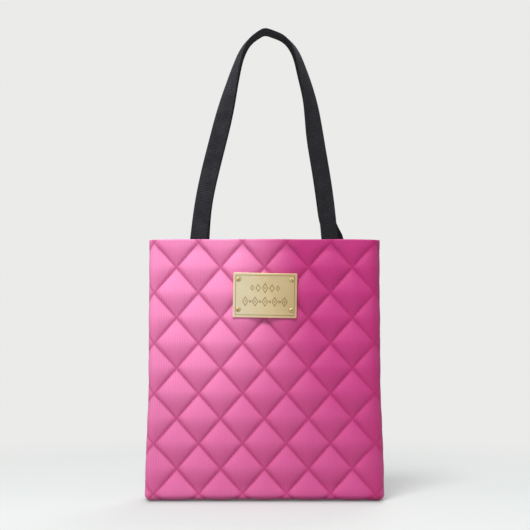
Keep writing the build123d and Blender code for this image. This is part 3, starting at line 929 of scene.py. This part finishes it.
def quilt_material():
    """Satin-faced printed fabric with a vertical rib, painted shade along the seams and low on each puff, and
    a painted highlight high on each puff.
    """
    s = Shader("quilted_fabric")
    u, v, w = s.parts(s.attribute("weave"))
    painted_shading = s.attribute("painted_shading", "Fac")
    grain = s.noise(s.join(u * 6.0, v, w), 900.0, 3.0, 0.6)
    rib = s.wave(u, SATIN_RIB)
    colour = s.blend(s.between(grain, 0.3, 0.75, 0.0, 0.1), print_and_painted_light(s), DEEP_PINK_AND_PAINTED_SHADE)
    colour = s.blend(s.between(rib, -1.0, 1.0, 0.0, 0.11), colour, DEEP_PINK_AND_PAINTED_SHADE)
    # Painted highlight at the top of each puff, then painted shade at its bottom and along its seams.
    colour = s.blend(s.between(painted_shading, -0.2, 0.05, 0.2, 0.0), colour, PAINTED_PUFF_HIGHLIGHT)
    colour = s.blend(s.between(painted_shading, -0.05, 0.3, 0.0, 0.2), colour, PAINTED_PUFF_SHADE)
    colour = s.blend(painted_shading * 0.66, colour, DEEP_PINK_AND_PAINTED_SHADE)
    height = rib + s.wave(u, SATIN_WEAVE) * s.wave(v, SATIN_WEAVE) * 0.4 + grain * 0.6
    s.set(Base_Color=colour, Roughness=0.47, Normal=s.bump(height, 0.05, 0.8))
    s.set(Specular_IOR_Level=0.34, Sheen_Weight=0.07, Sheen_Roughness=0.4, Sheen_Tint=srgb(240, 225, 235))
    return s.material


def pink_thread_material():
    """Thread in the fabric's own colour, a shade deeper."""
    s = Shader("pink_thread")
    twist = s.noise(s.place, THREAD_TWIST)
    colour = s.blend(s.between(twist, 0.2, 0.8, 0.4, 0.6), print_and_painted_light(s), DEEP_PINK_AND_PAINTED_SHADE)
    s.set(Base_Color=colour, Roughness=0.45, Normal=s.bump(twist, 0.08), Sheen_Weight=0.1)
    return s.material


def black_thread_material():
    s = Shader("black_thread")
    twist = s.noise(s.place, THREAD_TWIST)
    colour = s.blend(twist, srgb(34, 34, 37), srgb(16, 16, 18))
    s.set(Base_Color=colour, Roughness=0.5, Normal=s.bump(twist, 0.08), Sheen_Weight=0.2)
    return s.material


def cloth_material(name, colour, shade, period):
    """A plain woven cloth."""
    s = Shader(name)
    u, v, w = s.parts(s.attribute("weave"))
    weft = s.wave(u, period) * s.wave(v, period)
    slub = s.noise(s.join(u * 8.0, v, w), 260.0, 3.0)
    tone = weft * 0.12 + slub * 0.6 + s.noise(s.place, 30.0) * 0.4
    s.set(Base_Color=s.blend(s.between(tone, 0.2, 0.85), colour, shade), Roughness=0.78)
    s.set(Normal=s.bump(weft + slub, 0.06, 0.7), Sheen_Weight=0.15, Sheen_Roughness=0.4)
    return s.material


def webbing_material():
    """Black cotton webbing: lengthwise ribs, crossing picks, dusty lighter fibres on the high threads, and
    painted light, lighter at the left and darker at the right.
    """
    s = Shader("black_webbing")
    u, v, w = s.parts(s.attribute("weave"))
    weft = s.wave(u, 0.7, 0.6) * s.wave(v, 1.3)
    fibre = s.noise(s.join(u * 3.0, v, w), 1400.0, 3.0, 0.65)
    dust = s.noise(s.place, 60.0, 3.0, 0.6)
    band = s.wave(v, 3.4) * s.noise(s.place, 24.0)
    # Dust and banding, plus painted light: lighter at the left, darker at the right.
    dust_and_painted_light = dust * 0.35 + s.between(s.parts(s.place)[0], -0.11, 0.08, 0.06, -0.08) + band * 0.2
    tone = s.between(weft * 0.2 + fibre + dust_and_painted_light, 0.25, 1.15)
    colour = s.ramp(tone, (0.0, srgb(10, 10, 13)), (0.5, srgb(26, 26, 31)), (1.0, srgb(68, 68, 76)))
    height = s.wave(u, WEBBING_RIB) * 0.6 + weft + fibre * 0.7
    s.set(Base_Color=colour, Roughness=0.82, Normal=s.bump(height, 0.12, 0.9))
    s.set(Specular_IOR_Level=0.22, Sheen_Weight=0.06, Sheen_Roughness=0.5, Sheen_Tint=srgb(200, 205, 215))
    return s.material


def brass_material():
    """Satin brass, brushed along the plate, with painted light making it paler at its left, tarnish held in
    the engraving and painted shade in a ring round each screw.
    """
    s = Shader("plate_brass")
    x, y, z = s.parts(s.place)
    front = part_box("name_plate")[0].y
    sunk = s.between(y, front + 0.0003, front + 0.0004) * s.between(s.facing_front(), 0.85, 0.98)
    brushed = s.noise(s.join(x * 0.04, y, z), 2600.0, 3.0, 0.6)
    # Painted light: the plate is paler at its left, with random tone over it.
    tone = s.between(x, -0.055, 0.055) + (s.noise(s.place, 38.0, 3.0, 0.6) - 0.5) * 0.5
    colour = s.ramp(tone, (0.0, srgb(255, 242, 206)), (0.55, srgb(246, 224, 176)), (1.0, srgb(222, 196, 146)))
    colour = s.blend(s.between(brushed, 0.35, 0.75, 0.0, 0.25), colour, srgb(206, 180, 124))
    colour = s.blend(sunk * 0.62, colour, srgb(120, 98, 62))
    # Painted shade darkens a ring round each screw head.
    sine, cosine = math.sin(math.radians(PLATE_TILT)), math.cos(math.radians(PLATE_TILT))
    dx, dz = x - PLATE_CENTRE[0] * MM, z - PLATE_CENTRE[1] * MM
    up = abs(dx * sine + dz * cosine - SCREW_SHIFT * MM) - SCREW_UP * MM
    out = abs(dx * cosine - dz * sine) - SCREW_OUT * MM
    ring = s.between(s.length(up, out), (HEAD_RADIUS - 0.2) * MM, (HEAD_RADIUS + 1.3) * MM, 0.5, 0.0)
    rough = s.between(brushed, 0.2, 0.8, 0.34, 0.46) + sunk * 0.25
    s.set(Base_Color=s.blend(ring, colour, srgb(112, 90, 54)), Metallic=0.7, Roughness=rough)
    s.set(Normal=s.bump(brushed, 0.02, 0.5))
    return s.material


def screw_material():
    s = Shader("screw_brass")
    wear = s.noise(s.place, 420.0, 3.0, 0.6)
    colour = s.blend(s.between(wear, 0.3, 0.75), srgb(214, 194, 144), srgb(176, 152, 104))
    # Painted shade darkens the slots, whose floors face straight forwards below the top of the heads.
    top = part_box("name_plate_screws")[0].y
    below = s.between(s.parts(s.place)[1], top + 0.0004, top + 0.0007)
    painted_slot_shade = s.between(s.facing_front(), 0.985, 0.998) * below
    s.set(Base_Color=s.blend(painted_slot_shade * 0.75, colour, srgb(84, 66, 38)), Metallic=0.45)
    s.set(Roughness=s.between(wear, 0.2, 0.8, 0.55, 0.68), Normal=s.bump(wear, 0.03, 0.4))
    return s.material


def board_material():
    s = Shader("base_board")
    grain = s.noise(s.place, 700.0)
    s.set(Base_Color=s.blend(grain, srgb(42, 42, 45), srgb(62, 62, 66)), Roughness=0.6)
    s.set(Normal=s.bump(grain, 0.1, 0.5))
    return s.material


quilted = quilt_material()
pink_thread = pink_thread_material()
black_thread = black_thread_material()
lining_cloth = cloth_material("lining_cloth", srgb(208, 104, 150), srgb(178, 74, 122), 0.7)
binding_cloth = cloth_material("binding_cloth", srgb(176, 52, 106), srgb(134, 28, 74), 0.9)
webbing = webbing_material()

# ---- Pieces ----

for name, side in SIDES:
    panel = quilted_panel(f"{name}_quilted_panel", side, quilted)
    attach(panel, "bag")
    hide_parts(f"{name}_outer_panel", f"{name}_wadding")

    thread = quilting_thread(f"{name}_quilting_thread", side, pink_thread)
    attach(thread, "bag")

    sheet = lining_sheet(f"{name}_lining_cloth", side, lining_cloth)
    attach(sheet, "bag")
    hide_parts(f"{name}_lining")

    band = facing_sheet(f"{name}_facing_cloth", side, quilted)
    band_thread = facing_stitches(f"{name}_facing_stitches", side, pink_thread)
    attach(band, "bag")
    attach(band_thread, "bag")
    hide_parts(f"{name}_mouth_facing")

    strap = webbing_handle(f"{name}_webbing_handle", side, webbing)
    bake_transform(strap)
    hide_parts(f"{name}_handle", f"{name}_handle_left_end", f"{name}_handle_right_end")

    tack = tack_thread(f"{name}_tack_thread", side, black_thread)
    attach(tack, "bag")
    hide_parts(f"{name}_handle_tack_stitches")


def add_binding(node, places, across, out):
    """A tape along places on a straight line, with a row of stitches along each edge."""
    name = node.replace("_seam_binding", "_binding_tape")
    strip = binding_strip(name, places, across, out, binding_cloth)
    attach(strip, "bag")
    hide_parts(node)
    line = places[-1] - places[0]
    length = np.linalg.norm(line)
    middles = places[0] + line * (np.arange(2.5, length - 2, BINDING_PITCH) / length)[:, None]
    middles = middles + np.array(out) * 1.12
    middles = np.concatenate([middles + np.array(across) * 2.8 * edge for edge in (-1, 1)])
    thread = stitch_object(name + "_thread", middles, line, out, *BINDING_STITCH, pink_thread)
    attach(thread, "bag")


for word, hand in (("left", -1), ("right", 1)):
    z = np.linspace(BAG_HEIGHT - FACING_DEPTH - 1, 24, 150)
    places = xyz(hand * (footprint(z)[0] - LINING_INSIDE - 1.3), 5.2, z)
    add_binding(f"{word}_side_seam_binding", places, (0, 1, 0), (-hand, 0, 0))
    places = xyz(hand * (BASE_WIDTH / 2 - LINING_INSIDE - 9), np.linspace(-17.5, 17.5, 90), BINDING_HEIGHT)
    add_binding(f"{word}_corner_seam_binding", places, (1, 0, 0), (0, 0, 1))
reach = BASE_WIDTH / 2 - LINING_INSIDE - 20.5
places = xyz(np.linspace(-reach, reach, 160), 5.0, BINDING_HEIGHT)
add_binding("bottom_seam_binding", places, (0, 1, 0), (0, 0, 1))


for node, made in (
    ("name_plate", brass_material()),
    ("name_plate_screws", screw_material()),
    ("name_plate_washers", screw_material()),
    ("name_plate_nuts", screw_material()),
    ("base_board", board_material()),
):
    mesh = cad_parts[node].data
    mesh.materials.clear()
    mesh.materials.append(made)

# ---- Stage, light and camera ----

BACKGROUND = srgb(235, 235, 234)
# The floor's colour, and the dark colour of the painted shadow round the foot.
FLOOR, PAINTED_SHADOW_COLOUR = (0.465, 0.49, 0.48, 1.0), (0.02, 0.02, 0.02, 1.0)
FLOOR_GLOW = 0.255
FADE_START, FADE_END = 0.4, 1.0
WORLD_STRENGTH = 0.42


def floor_material():
    """A pale floor that fades out into the background round the bag, with a painted shadow round the foot."""
    s = Shader("floor")
    x, y, _ = s.parts(s.place)
    # Painted shadow: the floor is darker and glows less in a narrow band round the foot.
    past_x = s.math("MAXIMUM", abs(x) - (BASE_WIDTH / 2 - 9) * MM, 0.0) * 3.0
    past_y = s.math("MAXIMUM", abs(y) - BASE_DEPTH / 2 * MM, 0.0)
    painted_contact_shadow = s.math("EXPONENT", s.length(past_x, past_y) * (-1 / 0.013)) * 0.55
    s.set(Base_Color=s.blend(painted_contact_shadow, FLOOR, PAINTED_SHADOW_COLOUR), Roughness=0.95, Specular_IOR_Level=0.05)
    s.set(Emission_Color=BACKGROUND, Emission_Strength=painted_contact_shadow * -FLOOR_GLOW + FLOOR_GLOW)
    clear = s.node("ShaderNodeBsdfTransparent")
    solid = Value(s, s.surface.outputs[0])
    fade = s.between(s.length(x, y), FADE_START, FADE_END)
    s.put(s.end.inputs["Surface"], s.node("ShaderNodeMixShader", 0, (fade, solid, clear)))
    return s.material


def make_floor():
    rings, spokes, height = 24, 96, -0.15
    radii = np.linspace(0.0, 1600.0, rings + 1)[1:, None]
    angles = np.arange(spokes) / spokes * 2 * math.pi
    points = xyz(radii * np.cos(angles), radii * np.sin(angles), height).reshape(-1, 3)
    ids = np.arange(spokes)
    fan = xyz(len(points), ids, np.roll(ids, -1))
    verts = np.concatenate([points, [(0, 0, height)]])
    return mesh_object("floor", verts, [grid_faces(rings, spokes, wrap=True), fan], floor_material())


make_floor()


def area_light(name, place, target, size, watts):
    light = bpy.data.lights.new(name, "AREA")
    light.shape = "DISK"
    light.size = size
    light.energy = watts
    obj = bpy.data.objects.new(name, light)
    obj.location = place
    obj.rotation_mode = "QUATERNION"
    obj.rotation_quaternion = (Vector(target) - Vector(place)).to_track_quat("-Z", "Y")
    bpy.context.scene.collection.objects.link(obj)


area_light("key", (-0.36, -1.3, 2.25), (0, 0, 0.25), 0.9, 56.0)
area_light("side", (-2.2, -0.9, 0.9), (0, 0, 0.3), 1.4, 9.0)
area_light("fill", (2.1, -0.5, 0.9), (0, 0, 0.3), 1.4, 5.0)
area_light("back", (0.5, 1.6, 2.3), (0, 0, 0.25), 1.2, 20.0)

world = bpy.data.worlds.new("studio")
world.use_nodes = True
tree = world.node_tree
tree.nodes.clear()
seen = tree.nodes.new("ShaderNodeBackground")
seen.inputs["Color"].default_value = BACKGROUND
lit = tree.nodes.new("ShaderNodeBackground")
lit.inputs["Color"].default_value = (1, 1, 1, 1)
lit.inputs["Strength"].default_value = WORLD_STRENGTH
path = tree.nodes.new("ShaderNodeLightPath")
both = tree.nodes.new("ShaderNodeMixShader")
out = tree.nodes.new("ShaderNodeOutputWorld")
tree.links.new(path.outputs["Is Camera Ray"], both.inputs[0])
tree.links.new(lit.outputs[0], both.inputs[1])
tree.links.new(seen.outputs[0], both.inputs[2])
tree.links.new(both.outputs[0], out.inputs["Surface"])
bpy.context.scene.world = world
bpy.context.scene.view_settings.view_transform = "Standard"

CAMERA_DISTANCE = 2.5
FIELD = 0.8123  # metres across the picture at the bag's front
SENSOR = 36.0
CAMERA_ASIDE, CAMERA_HEIGHT = 0.0008, 0.363
camera_data = bpy.data.cameras.new("camera")
camera_data.sensor_width = SENSOR
camera_data.lens = SENSOR * CAMERA_DISTANCE / FIELD
camera = bpy.data.objects.new("camera", camera_data)
camera.location = (CAMERA_ASIDE, -MOUTH_DEPTH / 2 * MM - CAMERA_DISTANCE, CAMERA_HEIGHT)
camera.rotation_euler = (math.pi / 2, 0.0, 0.0)
bpy.context.scene.collection.objects.link(camera)
bpy.context.scene.camera = camera
